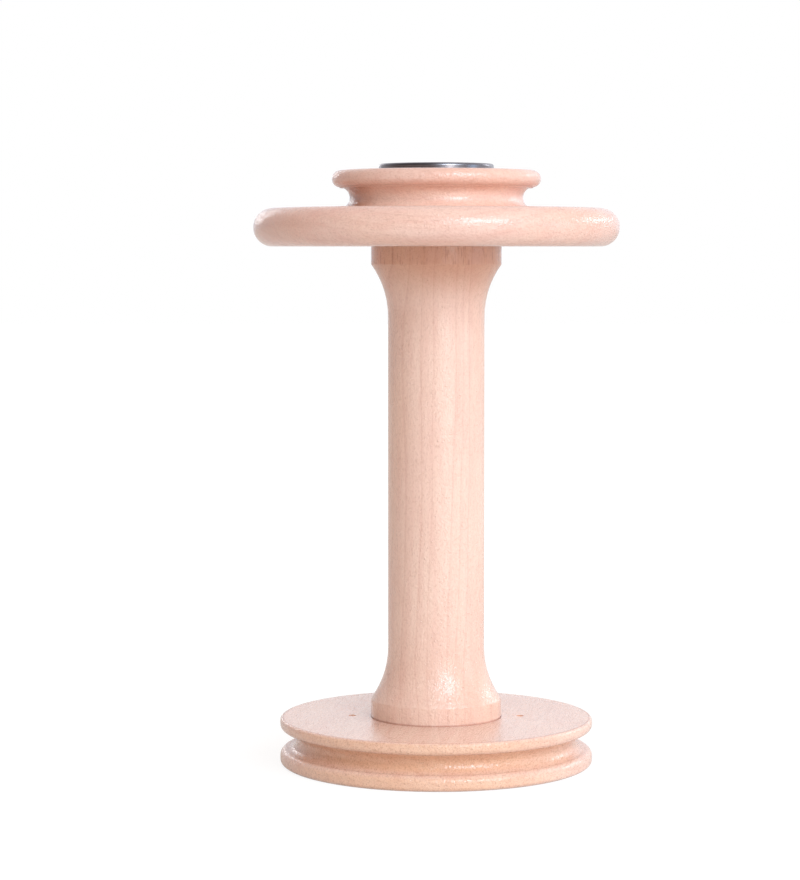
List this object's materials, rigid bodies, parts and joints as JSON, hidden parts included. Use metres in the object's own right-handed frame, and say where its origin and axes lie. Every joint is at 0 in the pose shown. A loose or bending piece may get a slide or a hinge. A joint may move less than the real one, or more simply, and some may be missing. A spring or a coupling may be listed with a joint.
{
  "type": "spinning wheel bobbin",
  "caption": "Turned wooden spinning wheel bobbin with a flange, a small and a large grooved whorl, and a shielded ball bearing in each end.",
  "frame": {"origin": "on the bobbin's axis, in the plane of the foot that it stands on", "axes": "+Z along the bobbin's axis, from the large whorl to the flange; +X through one of the two pin marks in the large whorl"},
  "size_m": [0.07, 0.07, 0.115],
  "materials": {
    "barrel_wood": "pale pinkish wood, straight grain along the barrel, satin clear lacquer",
    "flange_wood": "pale pinkish wood, grain across the disc, satin clear lacquer",
    "whorl_wood": "pale pinkish wood, warmer on its end grain, satin clear lacquer",
    "outer_ring_steel": "dark ground steel",
    "inner_ring_steel": "ground steel",
    "cage_steel": "pressed sheet steel",
    "rivet_steel": "plain steel",
    "shield_steel": "pressed sheet steel, satin",
    "ball_steel": "polished bearing steel"
  },
  "bodies": {
    "bobbin": {"barrel": "barrel_wood", "upper_flange": "flange_wood", "lower_whorl": "whorl_wood", "upper_bearing_outer_ring": "outer_ring_steel", "upper_bearing_shield_top": "shield_steel", "upper_bearing_shield_base": "shield_steel", "lower_bearing_outer_ring": "outer_ring_steel", "lower_bearing_shield_top": "shield_steel", "lower_bearing_shield_base": "shield_steel"},
    "upper_inner_ring": {"upper_bearing_inner_ring": "inner_ring_steel"},
    "upper_cage": {"upper_bearing_cage_top": "cage_steel", "upper_bearing_cage_base": "cage_steel", "upper_bearing_cage_rivets": "rivet_steel"},
    "upper_ball_1": {"upper_bearing_ball_1": "ball_steel"},
    "upper_ball_2": {"upper_bearing_ball_2": "ball_steel"},
    "upper_ball_3": {"upper_bearing_ball_3": "ball_steel"},
    "upper_ball_4": {"upper_bearing_ball_4": "ball_steel"},
    "upper_ball_5": {"upper_bearing_ball_5": "ball_steel"},
    "upper_ball_6": {"upper_bearing_ball_6": "ball_steel"},
    "upper_ball_7": {"upper_bearing_ball_7": "ball_steel"},
    "lower_inner_ring": {"lower_bearing_inner_ring": "inner_ring_steel"},
    "lower_cage": {"lower_bearing_cage_top": "cage_steel", "lower_bearing_cage_base": "cage_steel", "lower_bearing_cage_rivets": "rivet_steel"},
    "lower_ball_1": {"lower_bearing_ball_1": "ball_steel"},
    "lower_ball_2": {"lower_bearing_ball_2": "ball_steel"},
    "lower_ball_3": {"lower_bearing_ball_3": "ball_steel"},
    "lower_ball_4": {"lower_bearing_ball_4": "ball_steel"},
    "lower_ball_5": {"lower_bearing_ball_5": "ball_steel"},
    "lower_ball_6": {"lower_bearing_ball_6": "ball_steel"},
    "lower_ball_7": {"lower_bearing_ball_7": "ball_steel"}
  },
  "joints": [
    {"name": "upper_inner_ring_spin", "type": "hinge", "parent": "bobbin", "child": "upper_inner_ring", "pos_m": [0, 0, 0.1115], "axis": [0, 0, 1], "continuous": true},
    {"name": "upper_cage_turn", "type": "hinge", "parent": "bobbin", "child": "upper_cage", "pos_m": [0, 0, 0.1115], "axis": [0, 0, 1], "continuous": true},
    {"name": "upper_ball_1_roll", "type": "hinge", "parent": "upper_cage", "child": "upper_ball_1", "pos_m": [0.0075, 0, 0.1115], "axis": [0, 0, 1], "continuous": true},
    {"name": "upper_ball_2_roll", "type": "hinge", "parent": "upper_cage", "child": "upper_ball_2", "pos_m": [0.00468, 0.00586, 0.1115], "axis": [0, 0, 1], "continuous": true},
    {"name": "upper_ball_3_roll", "type": "hinge", "parent": "upper_cage", "child": "upper_ball_3", "pos_m": [-0.00167, 0.00731, 0.1115], "axis": [0, 0, 1], "continuous": true},
    {"name": "upper_ball_4_roll", "type": "hinge", "parent": "upper_cage", "child": "upper_ball_4", "pos_m": [-0.00676, 0.00325, 0.1115], "axis": [0, 0, 1], "continuous": true},
    {"name": "upper_ball_5_roll", "type": "hinge", "parent": "upper_cage", "child": "upper_ball_5", "pos_m": [-0.00676, -0.00325, 0.1115], "axis": [0, 0, 1], "continuous": true},
    {"name": "upper_ball_6_roll", "type": "hinge", "parent": "upper_cage", "child": "upper_ball_6", "pos_m": [-0.00167, -0.00731, 0.1115], "axis": [0, 0, 1], "continuous": true},
    {"name": "upper_ball_7_roll", "type": "hinge", "parent": "upper_cage", "child": "upper_ball_7", "pos_m": [0.00468, -0.00586, 0.1115], "axis": [0, 0, 1], "continuous": true},
    {"name": "lower_inner_ring_spin", "type": "hinge", "parent": "bobbin", "child": "lower_inner_ring", "pos_m": [0, 0, 0.00375], "axis": [0, 0, 1], "continuous": true},
    {"name": "lower_cage_turn", "type": "hinge", "parent": "bobbin", "child": "lower_cage", "pos_m": [0, 0, 0.00375], "axis": [0, 0, 1], "continuous": true},
    {"name": "lower_ball_1_roll", "type": "hinge", "parent": "lower_cage", "child": "lower_ball_1", "pos_m": [0.0075, 0, 0.00375], "axis": [0, 0, 1], "continuous": true},
    {"name": "lower_ball_2_roll", "type": "hinge", "parent": "lower_cage", "child": "lower_ball_2", "pos_m": [0.00468, 0.00586, 0.00375], "axis": [0, 0, 1], "continuous": true},
    {"name": "lower_ball_3_roll", "type": "hinge", "parent": "lower_cage", "child": "lower_ball_3", "pos_m": [-0.00167, 0.00731, 0.00375], "axis": [0, 0, 1], "continuous": true},
    {"name": "lower_ball_4_roll", "type": "hinge", "parent": "lower_cage", "child": "lower_ball_4", "pos_m": [-0.00676, 0.00325, 0.00375], "axis": [0, 0, 1], "continuous": true},
    {"name": "lower_ball_5_roll", "type": "hinge", "parent": "lower_cage", "child": "lower_ball_5", "pos_m": [-0.00676, -0.00325, 0.00375], "axis": [0, 0, 1], "continuous": true},
    {"name": "lower_ball_6_roll", "type": "hinge", "parent": "lower_cage", "child": "lower_ball_6", "pos_m": [-0.00167, -0.00731, 0.00375], "axis": [0, 0, 1], "continuous": true},
    {"name": "lower_ball_7_roll", "type": "hinge", "parent": "lower_cage", "child": "lower_ball_7", "pos_m": [0.00468, -0.00586, 0.00375], "axis": [0, 0, 1], "continuous": true}
  ],
  "couplings": [
    {"joint": "upper_cage_turn", "follows": "upper_inner_ring_spin", "ratio": 0.3677},
    {"joint": "upper_ball_1_roll", "follows": "upper_inner_ring_spin", "ratio": -1.7573},
    {"joint": "upper_ball_2_roll", "follows": "upper_inner_ring_spin", "ratio": -1.7573},
    {"joint": "upper_ball_3_roll", "follows": "upper_inner_ring_spin", "ratio": -1.7573},
    {"joint": "upper_ball_4_roll", "follows": "upper_inner_ring_spin", "ratio": -1.7573},
    {"joint": "upper_ball_5_roll", "follows": "upper_inner_ring_spin", "ratio": -1.7573},
    {"joint": "upper_ball_6_roll", "follows": "upper_inner_ring_spin", "ratio": -1.7573},
    {"joint": "upper_ball_7_roll", "follows": "upper_inner_ring_spin", "ratio": -1.7573},
    {"joint": "lower_cage_turn", "follows": "lower_inner_ring_spin", "ratio": 0.3677},
    {"joint": "lower_ball_1_roll", "follows": "lower_inner_ring_spin", "ratio": -1.7573},
    {"joint": "lower_ball_2_roll", "follows": "lower_inner_ring_spin", "ratio": -1.7573},
    {"joint": "lower_ball_3_roll", "follows": "lower_inner_ring_spin", "ratio": -1.7573},
    {"joint": "lower_ball_4_roll", "follows": "lower_inner_ring_spin", "ratio": -1.7573},
    {"joint": "lower_ball_5_roll", "follows": "lower_inner_ring_spin", "ratio": -1.7573},
    {"joint": "lower_ball_6_roll", "follows": "lower_inner_ring_spin", "ratio": -1.7573},
    {"joint": "lower_ball_7_roll", "follows": "lower_inner_ring_spin", "ratio": -1.7573}
  ]
}
